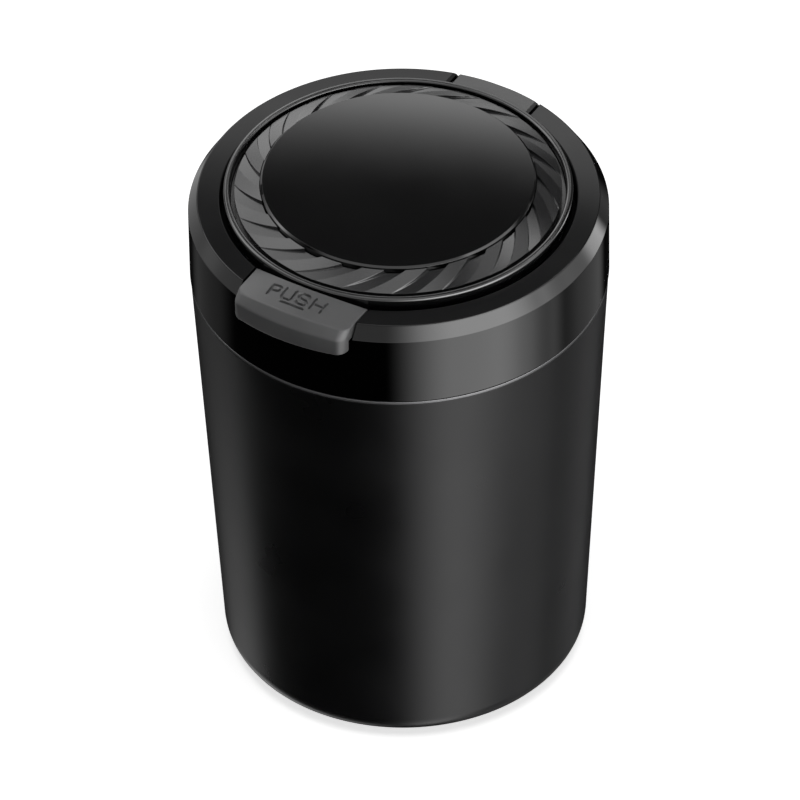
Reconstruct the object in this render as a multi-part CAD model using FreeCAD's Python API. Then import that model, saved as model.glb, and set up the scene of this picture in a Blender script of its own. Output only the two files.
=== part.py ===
import FreeCAD, Part
import math
import os

Vector = FreeCAD.Vector

# Car ashtray for a cup holder. Millimetres, +Z up, latch at -Y, lid hinge at +Y.
# The origin is the centre of the base pad's underside.

# Overall sizes
head_radius = 39.0
head_top = 104.5
band_height = 16.9
chamfer_drop = 2.7
chamfer_run = 1.7
rim_width = 5.9

# Clearances
body_gap = 0.3
running_fit = 0.05
edge_break = 0.2
lid_gap = 0.7

# Cup
cup_step = 0.13
cup_taper = 4.8
cup_base_round = 4.6
neck_wall = 1.95
ledge_width = 1.5
ledge_depth = 9.4
cup_wall = 2.4
cup_floor = 3.2
pad_setback = 8.2
pad_thickness = 1.5
pad_proud = 0.3
seam_ring_height = 0.5
seam_ring_width = 0.9

# Ash liner and neck gasket
liner_wall = 0.5
liner_round = 5.0
gasket_thickness = 0.8

# Collar
band_wall = 2.0
collar_skin = 2.0
mouth_wall = 1.8
recess_depth = 6.0
ledge_thickness = 2.0
boss_depth = 11.0

# Neck frame inside the collar
throat_setback = 2.5
throat_wall = 1.6
seal_seat_depth = 4.6
shoulder_depth = 10.0
shoulder_width = 4.5
web_thickness = 2.0
skirt_wall = 2.0
lug_count = 3
lug_width_deg = 14.0
lug_height = 1.6
lug_reach = 0.8
lug_turn_deg = 30.0
frame_screw_radius = 0.9
frame_screw_head = 1.55
frame_screw_bite = 3.0

# Mouth ring
mouth_ring_thickness = 1.2
mouth_ring_slope = 5.0
mouth_ring_fall = 3.4
rest_radius = 3.8
rest_count = 3

# Lid
bead_width = 1.1
bead_height = 2.0
bead_round = 0.45
lid_drop = 0.6
ring_seat_height = 0.9
ring_groove = 0.65
ring_width = 4.95
ring_outer_height = 1.6
ring_inner_height = 3.4
channel_count = 20
channel_depth = 0.9
channel_end_depth = 0.35
channel_twist_deg = 15.0
channel_start_deg = 11.4
disc_gap = 0.6
disc_thickness = 1.55
disc_top = 3.95
disc_bevel = 0.45
lid_plate = 1.8
cap_setback = 1.9
cap_flange = 2.0
cap_depth = 4.8
cap_wall = 1.2
seal_width = 1.95
lid_screw_count = 4
lid_screw_setback = 6.8
lid_screw_radius = 0.9
lid_screw_head = 1.8
lid_screw_bite = 3.8

# Lid hinge
knuckle_radius = 3.9
hinge_half_width = 8.5
hinge_slot = 0.6
hinge_pin_radius = 1.0
hinge_boss_width = 4.9
spring_pocket_half = 3.2
spring_pocket_radius = 2.9
hinge_wire_radius = 0.3
hinge_coil_radius = 1.6
hinge_coil_pitch = 0.75
hinge_coil_turns = 5

# Latch button
button_half_width = 11.85
button_reach = 2.5
button_lip = 4.9
button_plate = 2.0
button_bevel = 1.5
button_corner = 1.4
button_crown = 2.2
button_front_crown = 0.6
lip_gap = 0.6
well_gap = 0.35
latch_pin_radius = 0.9
latch_pin_setback = 0.4
latch_pin_drop = 7.0
latch_boss_width = 4.65
ear_radius = 1.9
ear_width = 3.6
well_depth = 9.6
nose_reach = 0.3
nose_height = 1.0
nose_half_width = 5.0
keeper_half_width = 4.5
keeper_gap = 0.15
keeper_drop = 2.6
latch_wire_radius = 0.2
latch_coil_radius = 1.1
latch_coil_turns = 6

# Heights and radii that follow from the sizes above
mouth_radius = head_radius - rim_width
seam_z = head_top - band_height
ring_top_z = seam_z - body_gap
rim_z = ring_top_z - seam_ring_height
ledge_z = seam_z - ledge_depth
cup_top_radius = head_radius - cup_step
neck_radius = cup_top_radius - neck_wall
ledge_inner = neck_radius - ledge_width
cup_base_radius = head_radius - cup_taper
pad_radius = cup_base_radius - pad_setback
cavity_base = cup_base_radius - cup_wall
floor_z = pad_proud + cup_floor
flange_z = ledge_z + liner_wall
gasket_z = flange_z + gasket_thickness
skirt_radius = neck_radius - body_gap
skirt_bottom = gasket_z + body_gap
skirt_inner = skirt_radius - skirt_wall
lug_radius = skirt_radius + lug_reach
lug_z = skirt_bottom + 1.3
band_inner = head_radius - band_wall
annulus_radius = head_radius - chamfer_run
mouth_wall_outer = mouth_radius + mouth_wall
recess_z = head_top - recess_depth
throat_outer = mouth_radius - throat_setback
throat_inner = throat_outer - throat_wall
boss_z = head_top - boss_depth
shoulder_z = head_top - shoulder_depth
shoulder_inner = throat_inner - shoulder_width
mouth_ring_bore = shoulder_inner - mouth_ring_slope
web_bottom = boss_z - web_thickness
seal_seat_z = head_top - seal_seat_depth
lid_radius = mouth_radius - lid_gap
bead_inner = lid_radius - bead_width
ring_outer_radius = bead_inner - ring_groove
ring_inner_radius = ring_outer_radius - ring_width
disc_radius = ring_inner_radius - disc_gap
lid_under = head_top - lid_drop
ring_seat_z = head_top + ring_seat_height
disc_seat_z = head_top + disc_top - disc_thickness
plateau_radius = disc_radius - 0.3
lid_screw_ring = plateau_radius - lid_screw_setback
cap_radius = lid_radius - cap_setback
cap_bottom = lid_under - cap_depth
cap_flange_z = lid_under - cap_flange
seal_bottom = seal_seat_z + body_gap
boss_inner = cap_radius - seal_width - 0.05
hinge_y = head_radius - knuckle_radius - 0.1
hinge_z = head_top - knuckle_radius
notch_half = hinge_half_width + hinge_slot
hinge_boss_half = hinge_half_width + hinge_boss_width
hinge_pin_half = hinge_boss_half - hinge_pin_radius
notch_radius = knuckle_radius + 0.6
button_inner = mouth_radius - 0.05
latch_pin_y = -(mouth_radius + latch_pin_setback)
button_outer = head_radius + button_reach
lip_inner = head_radius + lip_gap
well_half = button_half_width + well_gap
well_inner = latch_pin_y + ear_radius + 0.4
well_radius = head_radius - 1.1
well_z = head_top - well_depth
latch_pin_z = head_top - latch_pin_drop
latch_boss_half = button_half_width + latch_boss_width
latch_pin_half = latch_boss_half - 1.5
latch_spring_y = -(well_radius - latch_coil_radius - latch_wire_radius - 0.25)
plate_under = head_top - button_plate
slot_z = plate_under - 1.4
nose_radius = button_inner - nose_reach
keeper_radius = nose_radius - keeper_gap
frame_screw_ring = throat_outer + frame_screw_head + 0.15
post_radius = mouth_radius - frame_screw_ring + 0.6


def outline(corners, place):
    """Closed wire through the corners (a, b) or (a, b, round): arcs, or bevels where the round is negative."""
    count = len(corners)
    points = [Vector(c[0], c[1], 0) for c in corners]
    rounds = [c[2] if len(c) > 2 else 0.0 for c in corners]
    starts = []
    ends = []
    mids = []
    for i in range(count):
        corner = points[i]
        back = (points[i - 1] - corner).normalize()
        ahead = (points[(i + 1) % count] - corner).normalize()
        if rounds[i] > 0:
            half = back.getAngle(ahead) / 2
            reach = rounds[i] / math.tan(half)
            inward = (back + ahead).normalize()
            starts.append(corner + back * reach)
            ends.append(corner + ahead * reach)
            mids.append(corner + inward * (rounds[i] / math.sin(half) - rounds[i]))
        else:
            starts.append(corner - back * rounds[i])
            ends.append(corner - ahead * rounds[i])
            mids.append(None)
    edges = []
    for i in range(count):
        if mids[i] is not None:
            edges.append(Part.Arc(place(starts[i]), place(mids[i]), place(ends[i])).toShape())
        elif rounds[i] < 0:
            edges.append(Part.makeLine(place(starts[i]), place(ends[i])))
        after = (i + 1) % count
        edges.append(Part.makeLine(place(ends[i]), place(starts[after])))
    return Part.Wire(edges)


def turned(corners, angle=360.0):
    """Solid of revolution about Z from corners given as radius, height and an optional round."""
    wire = outline(corners, lambda p: Vector(p.x, 0, p.y))
    return Part.Face(wire).revolve(Vector(0, 0, 0), Vector(0, 0, 1), angle)


def arc_block(inner, outer, bottom, top, first_deg, last_deg):
    """Part of a ring between two angles, in degrees counter-clockwise from +X seen from above."""
    block = turned([(inner, bottom), (outer, bottom), (outer, top), (inner, top)], last_deg - first_deg)
    block.rotate(Vector(0, 0, 0), Vector(0, 0, 1), first_deg)
    return block


def ring(inner, outer, bottom, top):
    """Plain ring about Z."""
    return turned([(inner, bottom), (outer, bottom), (outer, top), (inner, top)])


def box(x0, x1, y0, y1, z0, z1):
    """Box between two corners."""
    return Part.makeBox(x1 - x0, y1 - y0, z1 - z0, Vector(x0, y0, z0))


def rod(radius, start, end):
    """Round rod between two points."""
    along = end - start
    return Part.makeCylinder(radius, along.Length, start, along)


def cross_rod(radius, half, y, z):
    """Round rod along X, centred on x = 0."""
    return rod(radius, Vector(-half, y, z), Vector(half, y, z))


def on_ring(radius, angle_deg, z):
    """Point at a radius and an angle about Z."""
    angle = math.radians(angle_deg)
    return Vector(radius * math.cos(angle), radius * math.sin(angle), z)


def save(shape, node):
    """Writes one node as a STEP file."""
    shape.exportStep("parts/" + node + ".step")


def coil(radius, wire_radius, pitch, turns):
    """Round-wire coil about Z that starts on +X at height zero."""
    path = Part.Wire(Part.makeHelix(pitch, pitch * turns, radius).Edges)
    heading = Vector(0, 2 * math.pi * radius, pitch)
    section = Part.Wire(Part.makeCircle(wire_radius, Vector(radius, 0, 0), heading))
    return path.makePipeShell([section], True, True)


def screw(radius, head, start, length):
    """Pan-head screw pointing up from the head's seat, with a hexagon socket."""
    shank = rod(radius, start, start + Vector(0, 0, length))
    cap_height = head * 0.7
    cap = Part.makeCylinder(head, cap_height, start - Vector(0, 0, cap_height))
    socket_points = []
    for i in range(7):
        socket_points.append(start + on_ring(head * 0.5, 60 * i, -cap_height))
    socket = Part.Face(Part.makePolygon(socket_points)).extrude(Vector(0, 0, cap_height * 0.5))
    return shank.fuse(cap).removeSplitter().cut(socket)


os.makedirs("parts", exist_ok=True)

# Outer cup with the base recess, the liner ledge and the bayonet grooves
recess_top = pad_thickness
outer_cup = turned([
    (pad_radius, pad_proud),
    (cup_base_radius, pad_proud, cup_base_round),
    (cup_top_radius, rim_z),
    (neck_radius, rim_z),
    (neck_radius, ledge_z),
    (ledge_inner, ledge_z),
    (cavity_base, floor_z, cup_base_round - 1.5),
    (0, floor_z),
    (0, recess_top),
    (pad_radius, recess_top),
])
groove_radius = lug_radius + 0.2
half_lug = lug_width_deg / 2
half_groove = half_lug + math.degrees(body_gap / lug_radius)
grooves = []
for i in range(lug_count):
    lug_angle = 90.0 + 360.0 * i / lug_count
    run_end = lug_angle + lug_turn_deg + half_groove
    grooves.append(arc_block(neck_radius - 0.4, groove_radius, lug_z - body_gap, lug_z + lug_height + body_gap,
                             lug_angle - half_groove, run_end))
    grooves.append(arc_block(neck_radius - 0.4, groove_radius, lug_z, rim_z + 1.0,
                             run_end - 2 * half_groove, run_end))
outer_cup = outer_cup.cut(grooves)
save(outer_cup, "outer_cup")

# Base pad in the recess under the cup
base_pad = turned([
    (0, 0),
    (pad_radius, 0, 0.25),
    (pad_radius, recess_top),
    (0, recess_top),
])
save(base_pad, "base_pad")

# Bright seam ring on the cup's rim
seam_ring_radius = cup_top_radius - 0.05
seam_ring = turned([
    (seam_ring_radius - seam_ring_width, rim_z),
    (seam_ring_radius, rim_z),
    (seam_ring_radius, ring_top_z, 0.15),
    (seam_ring_radius - seam_ring_width, ring_top_z),
])
save(seam_ring, "seam_ring")

# Steel ash liner hanging from the cup's inner ledge
liner_top_radius = ledge_inner - 0.25
liner_base_radius = cavity_base - 0.25
liner_z = floor_z + 0.3
ash_liner = turned([
    (0, liner_z),
    (liner_base_radius, liner_z, liner_round),
    (liner_top_radius, ledge_z),
    (neck_radius - 0.2, ledge_z),
    (neck_radius - 0.2, flange_z),
    (liner_top_radius - liner_wall, flange_z),
    (liner_base_radius - liner_wall, liner_z + liner_wall, liner_round - liner_wall),
    (0, liner_z + liner_wall),
])
save(ash_liner, "ash_liner")

# Flat gasket between the liner's flange and the head
neck_gasket = ring(liner_top_radius - liner_wall, neck_radius - 0.25, flange_z, gasket_z)
save(neck_gasket, "neck_gasket")

# Collar: band, chamfer, flat annulus, mouth wall and the ledge around the throat
collar = turned([
    (head_radius, seam_z),
    (head_radius, head_top - chamfer_drop, -edge_break),
    (annulus_radius, head_top, -edge_break),
    (mouth_radius, head_top, -edge_break),
    (mouth_radius, recess_z),
    (throat_outer + 0.1, recess_z),
    (throat_outer + 0.1, recess_z - ledge_thickness),
    (mouth_wall_outer, recess_z - ledge_thickness),
    (mouth_wall_outer, head_top - collar_skin),
    (band_inner, head_top - collar_skin),
    (band_inner, seam_z),
])
boss_section = ring(throat_outer + 0.1, band_inner + 0.5, boss_z, recess_z - 0.5)
wall_section = ring(mouth_radius + 0.4, band_inner + 0.5, recess_z - 1.0, head_top - collar_skin + 0.5)
hinge_span = box(-hinge_boss_half, hinge_boss_half, 0, head_radius, boss_z - 1, head_top)
latch_span = box(-latch_boss_half, latch_boss_half, -head_radius, 0, boss_z - 1, head_top)
bosses = [
    boss_section.common(hinge_span),
    wall_section.common(hinge_span),
    boss_section.common(latch_span),
    wall_section.common(latch_span),
]
for i in range(4):
    foot = on_ring(frame_screw_ring, 45 + 90 * i, boss_z)
    post = Part.makeCylinder(post_radius, boss_depth - recess_depth - 0.5, foot)
    bosses.append(post.cut(Part.makeCylinder(throat_outer + 0.1, boss_depth, Vector(0, 0, boss_z))))
collar = collar.fuse(bosses).removeSplitter()
notch = [
    box(-notch_half, notch_half, hinge_y - notch_radius, head_radius + 5, hinge_z, head_top + 5),
    box(-notch_half, notch_half, hinge_y, head_radius + 5, hinge_z - notch_radius, hinge_z),
    cross_rod(notch_radius, notch_half, hinge_y, hinge_z),
]
well_span = box(-well_half, well_half, -head_radius - 5, well_inner, well_z, slot_z)
well = [
    well_span.common(Part.makeCylinder(well_radius, well_depth, Vector(0, 0, well_z))),
    box(-well_half, well_half, -head_radius - 5, -mouth_radius * 0.8, slot_z, head_top + 5),
]
pin_holes = [
    cross_rod(hinge_pin_radius, hinge_boss_half + 0.2, hinge_y, hinge_z),
    cross_rod(latch_pin_radius, latch_boss_half + 1, latch_pin_y, latch_pin_z),
]
for i in range(4):
    foot = on_ring(frame_screw_ring, 45 + 90 * i, boss_z - 1)
    pin_holes.append(Part.makeCylinder(frame_screw_radius, frame_screw_bite + 1.5, foot))
collar = collar.cut(notch + well + pin_holes)
spring_post = Part.makeCylinder(latch_coil_radius - latch_wire_radius - 0.2, 2.2,
                                Vector(0, latch_spring_y, well_z - 0.7))
collar = collar.fuse(spring_post).removeSplitter()
save(collar, "collar")

# Neck frame: throat tube, shoulder for the mouth ring, web, skirt and bayonet lugs
neck_frame = turned([
    (throat_inner, seal_seat_z),
    (throat_outer, seal_seat_z),
    (throat_outer, boss_z),
    (skirt_radius, boss_z),
    (skirt_radius, skirt_bottom),
    (skirt_inner, skirt_bottom),
    (skirt_inner, web_bottom),
    (shoulder_inner, web_bottom),
    (shoulder_inner, shoulder_z),
    (throat_inner, shoulder_z),
])
lugs = []
for i in range(lug_count):
    lug_angle = 90.0 + 360.0 * i / lug_count
    lugs.append(arc_block(skirt_radius - 0.5, lug_radius, lug_z, lug_z + lug_height,
                          lug_angle - half_lug, lug_angle + half_lug))
neck_frame = neck_frame.fuse(lugs).removeSplitter()
frame_holes = []
for i in range(4):
    foot = on_ring(frame_screw_ring, 45 + 90 * i, web_bottom - 1)
    frame_holes.append(Part.makeCylinder(frame_screw_radius + 0.1, web_thickness + 2, foot))
neck_frame = neck_frame.cut(frame_holes)
save(neck_frame, "neck_frame")

# Screws that hold the neck frame up against the collar
frame_screws = []
for i in range(4):
    foot = on_ring(frame_screw_ring, 45 + 90 * i, web_bottom)
    frame_screws.append(screw(frame_screw_radius, frame_screw_head, foot, web_thickness + frame_screw_bite))
save(Part.makeCompound(frame_screws), "frame_screws")

# Mouth ring dropped into the throat, with rests for cigarettes in its sloping lip
slope_start = shoulder_inner - 0.25
mouth_top = shoulder_z + mouth_ring_thickness
mouth_ring = turned([
    (throat_inner - 0.2, shoulder_z),
    (throat_inner - 0.2, mouth_top, 0.3),
    (slope_start + 0.2, mouth_top),
    (mouth_ring_bore, mouth_top - mouth_ring_fall, 0.3),
    (mouth_ring_bore, shoulder_z - mouth_ring_fall, 0.3),
    (slope_start, shoulder_z),
])
rests = []
for i in range(rest_count):
    rest_angle = 30.0 + 360.0 * i / rest_count
    rest_z = mouth_top - mouth_ring_fall + rest_radius * 0.35
    rests.append(rod(rest_radius, on_ring(mouth_ring_bore - 4, rest_angle, rest_z),
                     on_ring(slope_start - 1.2, rest_angle, rest_z)))
mouth_ring = mouth_ring.cut(rests)
save(mouth_ring, "mouth_ring")

# Hinge pin and its torsion spring
hinge_pin = cross_rod(hinge_pin_radius, hinge_pin_half, hinge_y, hinge_z)
save(hinge_pin, "hinge_pin")

start_deg = 340.0
end_deg = 90.0
turn_count = hinge_coil_turns + (end_deg + 360.0 - start_deg) / 360.0
coil_half = hinge_coil_pitch * turn_count / 2
hinge_coil = coil(hinge_coil_radius, hinge_wire_radius, hinge_coil_pitch, turn_count)
hinge_coil.rotate(Vector(0, 0, 0), Vector(0, 0, 1), start_deg)
leg_start = on_ring(hinge_coil_radius, start_deg, 0)
leg_end = leg_start + on_ring(knuckle_radius + 0.1, start_deg - 90, 0)
fixed_leg = rod(hinge_wire_radius, leg_start, leg_end)
arm_start = on_ring(hinge_coil_radius, end_deg, 2 * coil_half)
arm_end = arm_start + on_ring(hinge_coil_radius * 1.2, end_deg + 90, 0)
moving_leg = rod(hinge_wire_radius, arm_start, arm_end)
hinge_spring = hinge_coil.fuse([fixed_leg, moving_leg])
hinge_spring.translate(Vector(0, 0, -coil_half))
hinge_spring.rotate(Vector(0, 0, 0), Vector(1, 1, 1), 120)
hinge_spring.translate(Vector(0, hinge_y, hinge_z))
save(hinge_spring, "hinge_spring")

# Latch pin and the coil spring under the button
latch_pin = cross_rod(latch_pin_radius, latch_pin_half, latch_pin_y, latch_pin_z)
save(latch_pin, "latch_pin")

latch_length = plate_under - well_z - 2 * latch_wire_radius
latch_spring = coil(latch_coil_radius, latch_wire_radius, latch_length / latch_coil_turns, latch_coil_turns)
latch_spring.translate(Vector(0, latch_spring_y, well_z + latch_wire_radius))
save(latch_spring, "latch_spring")

# Lid shell: bead, seats for the ridged ring and the disc, screw bosses, keeper and hinge knuckle
core_radius = lid_screw_ring + 4.0
lid_shell = turned([
    (0, disc_seat_z - lid_plate),
    (core_radius, disc_seat_z - lid_plate),
    (core_radius, lid_under),
    (lid_radius, lid_under),
    (lid_radius, head_top + bead_height, bead_round),
    (bead_inner, head_top + bead_height, bead_round),
    (bead_inner, ring_seat_z),
    (plateau_radius, ring_seat_z),
    (plateau_radius, disc_seat_z),
    (0, disc_seat_z),
])
cap_floor_z = cap_bottom + cap_wall
lid_additions = []
for i in range(lid_screw_count):
    foot = on_ring(lid_screw_ring, 45 + 360.0 * i / lid_screw_count, cap_floor_z)
    height = disc_seat_z - lid_plate - cap_floor_z + 0.5
    lid_additions.append(Part.makeCylinder(lid_screw_radius + 1.3, height, foot))
keeper_span = box(-keeper_half_width, keeper_half_width, -head_radius, 0, 0, head_top + 10)
keeper_bottom = lid_under - keeper_drop
keeper_ledge = plate_under - body_gap
keeper = turned([
    (cap_radius + 0.4, keeper_bottom),
    (keeper_radius, keeper_bottom, -edge_break),
    (keeper_radius, keeper_ledge),
    (keeper_radius - 0.6, keeper_ledge),
    (keeper_radius - 0.6, lid_under + 0.5),
    (cap_radius + 0.4, lid_under + 0.5),
])
lid_additions.append(keeper.common(keeper_span))
knuckle = cross_rod(knuckle_radius, hinge_half_width, hinge_y, hinge_z)
slab = box(-hinge_half_width, hinge_half_width, bead_inner - 0.6, head_radius, lid_under, head_top)
upper = box(-hinge_half_width, hinge_half_width, hinge_y, head_radius, hinge_z, head_top)
envelope = turned([
    (0, hinge_z - 10),
    (head_radius - 0.1, hinge_z - 10),
    (head_radius - 0.1, head_top - chamfer_drop, -edge_break),
    (annulus_radius - 0.1, head_top, -edge_break),
    (0, head_top),
])
hinge_block = knuckle.fuse([slab, upper]).common(envelope)
hinge_block = hinge_block.cut(Part.makeCylinder(bead_inner, 20, Vector(0, 0, lid_under - 0.01)))
lid_additions.append(hinge_block)
lid_shell = lid_shell.fuse(lid_additions).removeSplitter()
lid_cuts = [
    cross_rod(hinge_pin_radius + running_fit, hinge_half_width + 1, hinge_y, hinge_z),
    cross_rod(spring_pocket_radius, spring_pocket_half, hinge_y, hinge_z),
    box(-spring_pocket_half, spring_pocket_half, hinge_y - spring_pocket_radius, head_radius + 1,
        hinge_z - knuckle_radius - 1, hinge_z + 0.5),
]
for i in range(lid_screw_count):
    foot = on_ring(lid_screw_ring, 45 + 360.0 * i / lid_screw_count, cap_floor_z - 1)
    lid_cuts.append(Part.makeCylinder(lid_screw_radius, lid_screw_bite + 1.4, foot))
lid_shell = lid_shell.cut(lid_cuts)
save(lid_shell, "lid_shell")

# Ridged ring: a cone with twisted channels that get shallower and open at its outer edge


def cone_height(radius):
    """Height of the ridged ring's cone at a radius."""
    share = (radius - ring_inner_radius) / (ring_outer_radius - ring_inner_radius)
    return head_top + ring_inner_height + share * (ring_outer_height - ring_inner_height)


def channel_cutter(centre_deg):
    """Eight-cornered block whose floor climbs towards the cone and leaves the ring at its outer edge."""
    half_deg = 90.0 / channel_count
    inner = ring_inner_radius - 0.5
    outer = ring_outer_radius + 0.4
    inner_floor = cone_height(inner) - channel_depth
    outer_floor = cone_height(outer) - channel_end_depth
    end_deg = centre_deg - channel_twist_deg * (outer - inner) / ring_width
    low = [
        on_ring(inner, centre_deg - half_deg, inner_floor),
        on_ring(inner, centre_deg + half_deg, inner_floor),
        on_ring(outer, end_deg + half_deg, outer_floor),
        on_ring(outer, end_deg - half_deg, outer_floor),
    ]
    high = [p + Vector(0, 0, 3) for p in low]
    triangles = [(low[0], low[1], low[2]), (low[0], low[2], low[3])]
    triangles += [(high[0], high[2], high[1]), (high[0], high[3], high[2])]
    for i in range(4):
        after = (i + 1) % 4
        triangles.append((low[i], high[after], low[after]))
        triangles.append((low[i], high[i], high[after]))
    faces = [Part.Face(Part.makePolygon([a, b, c, a])) for a, b, c in triangles]
    solid = Part.Solid(Part.Shell(faces))
    if solid.Volume < 0:
        solid.reverse()
    return solid


ridged_ring = turned([
    (ring_inner_radius, ring_seat_z),
    (ring_outer_radius, ring_seat_z),
    (ring_outer_radius, head_top + ring_outer_height),
    (ring_inner_radius, head_top + ring_inner_height),
])
cutters = []
for i in range(channel_count):
    cutters.append(channel_cutter(channel_start_deg + 360.0 * i / channel_count))
ridged_ring = ridged_ring.cut(cutters)
save(ridged_ring, "ridged_ring")

# Centre disc on the lid's plateau
centre_disc = turned([
    (0, disc_seat_z),
    (disc_radius - 0.2, disc_seat_z),
    (disc_radius, disc_seat_z + 0.2),
    (disc_radius, head_top + disc_top - disc_bevel),
    (disc_radius - disc_bevel, head_top + disc_top),
    (0, head_top + disc_top),
])
save(centre_disc, "centre_disc")

# Heat cap under the lid, its seal and its screws
lid_cap = turned([
    (0, cap_bottom),
    (boss_inner, cap_bottom, 0.4),
    (boss_inner, cap_flange_z),
    (cap_radius, cap_flange_z),
    (cap_radius, lid_under),
    (boss_inner - cap_wall, lid_under),
    (boss_inner - cap_wall, cap_floor_z),
    (0, cap_floor_z),
])
cap_holes = []
for i in range(lid_screw_count):
    foot = on_ring(lid_screw_ring, 45 + 360.0 * i / lid_screw_count, cap_bottom - 1)
    cap_holes.append(Part.makeCylinder(lid_screw_radius + 0.1, cap_wall + 2, foot))
lid_cap = lid_cap.cut(cap_holes)
save(lid_cap, "lid_cap")

lid_seal = turned([
    (boss_inner + 0.02, seal_bottom, 0.4),
    (cap_radius - 0.05, seal_bottom, 0.4),
    (cap_radius - 0.05, cap_flange_z),
    (boss_inner + 0.02, cap_flange_z),
])
save(lid_seal, "lid_seal")

lid_screws = []
for i in range(lid_screw_count):
    foot = on_ring(lid_screw_ring, 45 + 360.0 * i / lid_screw_count, cap_bottom)
    lid_screws.append(screw(lid_screw_radius, lid_screw_head, foot, cap_wall + lid_screw_bite))
save(Part.makeCompound(lid_screws), "lid_screws")

# Latch button: crowned plate with an overhanging lip, two pivot ears and the catch nose


def crown_wire(y, rise):
    """Upright outline across the button at y: flat foot, plumb sides and a top arched by the rise."""
    wide = button_half_width + 1
    side_z = head_top - rise * ((wide / button_half_width) ** 2 - 1)
    foot_z = head_top - boss_depth
    left = Vector(-wide, y, side_z)
    right = Vector(wide, y, side_z)
    arch = Part.Arc(left, Vector(0, y, head_top + rise), right).toShape()
    rest = Part.makePolygon([right, Vector(wide, y, foot_z), Vector(-wide, y, foot_z), left])
    return Part.Wire([arch] + rest.Edges)


crown = Part.makeLoft([
    crown_wire(-(button_inner - 3), button_crown),
    crown_wire(-(button_outer + 1), button_front_crown),
], True, True)
crown_top = head_top + button_crown + 1
bevel_slope = 1.1
half_side = button_half_width
plan_box = Part.makePlane(2 * half_side, head_radius, Vector(-half_side, -1.5 * head_radius, 0))
plan_disc = Part.Face(Part.Wire(Part.makeCircle(button_outer)))
plan = plan_box.common(plan_disc).Faces[0]
plan = plan.makeOffset2D(-button_corner).Faces[0].makeOffset2D(button_corner).Faces[0]
prism = plan.extrude(Vector(0, 0, 2 * boss_depth))
prism.translate(Vector(0, 0, head_top - boss_depth))
plate = turned([
    (button_inner, plate_under),
    (button_inner, crown_top),
    (button_outer - button_bevel - (crown_top - head_top) / bevel_slope, crown_top),
    (button_outer, head_top - button_bevel * bevel_slope),
    (button_outer, head_top - button_lip, -edge_break),
    (lip_inner, head_top - button_lip, -edge_break),
    (lip_inner, plate_under),
])
latch_button = plate.common(prism).common(crown)
additions = []
for side in (-1, 1):
    outer_x = side * (well_half - 0.5)
    inner_x = outer_x - side * ear_width
    low_x = min(outer_x, inner_x)
    high_x = max(outer_x, inner_x)
    additions.append(box(low_x, high_x, latch_pin_y - ear_radius, latch_pin_y + ear_radius,
                         latch_pin_z, plate_under + 0.5).common(Part.makeCylinder(button_outer, 200)))
    additions.append(rod(ear_radius, Vector(low_x, latch_pin_y, latch_pin_z),
                         Vector(high_x, latch_pin_y, latch_pin_z)))
nose_span = box(-nose_half_width, nose_half_width, -head_radius, 0, 0, head_top + 10)
additions.append(ring(nose_radius, button_inner + 0.6, plate_under, plate_under + nose_height).common(nose_span))
latch_button = latch_button.fuse(additions).removeSplitter()
latch_button = latch_button.cut(cross_rod(latch_pin_radius + running_fit, well_half, latch_pin_y, latch_pin_z))
save(latch_button, "latch_button")
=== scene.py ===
import math
import bmesh
import bpy
import numpy as np
from mathutils import Matrix, Vector


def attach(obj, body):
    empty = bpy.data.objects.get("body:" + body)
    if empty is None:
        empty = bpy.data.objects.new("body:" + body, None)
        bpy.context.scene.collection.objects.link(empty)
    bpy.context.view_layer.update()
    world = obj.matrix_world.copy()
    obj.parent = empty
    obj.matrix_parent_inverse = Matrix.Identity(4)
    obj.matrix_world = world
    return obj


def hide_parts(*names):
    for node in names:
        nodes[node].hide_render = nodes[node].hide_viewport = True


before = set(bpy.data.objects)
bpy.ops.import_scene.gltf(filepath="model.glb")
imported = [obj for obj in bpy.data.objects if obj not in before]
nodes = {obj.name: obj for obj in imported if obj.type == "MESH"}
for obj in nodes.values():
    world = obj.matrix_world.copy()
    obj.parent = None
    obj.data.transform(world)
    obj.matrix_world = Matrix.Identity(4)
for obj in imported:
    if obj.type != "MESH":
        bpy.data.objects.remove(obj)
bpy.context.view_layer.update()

# Sizes are in millimetres, with heights above the base pad's underside
MM = 0.001
FINE_EDGE = 0.1

# Cup and seam trim
PAD_RADIUS = 26.0
PAD_SEAT = 1.5
CUP_UNDER = 0.3
CUP_FLOOR = 3.5
CUP_FOOT = 34.2
CUP_FOOT_ROUND = 4.6
CUP_RIM = 38.87
CUP_TOP = 86.8
CUP_BORE = 37.7
CUP_LEDGE = CUP_TOP - 8.6
CUP_INNER_TOP = 35.42
CUP_INNER_FOOT = CUP_FOOT - 2.4
CUP_INNER_ROUND = CUP_FOOT_ROUND - 1.5
TRIM_OUTER = CUP_RIM - 0.05
TRIM_INNER = TRIM_OUTER - 0.9
TRIM_TOP = CUP_TOP + 0.5
TRIM_ROUND = 0.15
SEAM_ROUND = 0.12

# Collar
HEAD_TOP = 104.5
HEAD_RADIUS = 39.0
HEAD_UNDER = TRIM_TOP + 0.3
CHAMFER_RUN = 1.7
CHAMFER_DROP = 2.7
CHAMFER_ROUND = 0.25
SKIRT_BORE = HEAD_RADIUS - 2.0
MOUTH_RADIUS = 33.1
MOUTH_ROUND = 0.22
RECESS_FLOOR = HEAD_TOP - 6.0
RECESS_UNDER = RECESS_FLOOR - 2.0
RECESS_ROUND = 0.3
LEDGE_BORE = MOUTH_RADIUS - 2.4
FRAME_BORE = MOUTH_RADIUS + 1.8
FRAME_SEAT = RECESS_UNDER - 1.5

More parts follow.
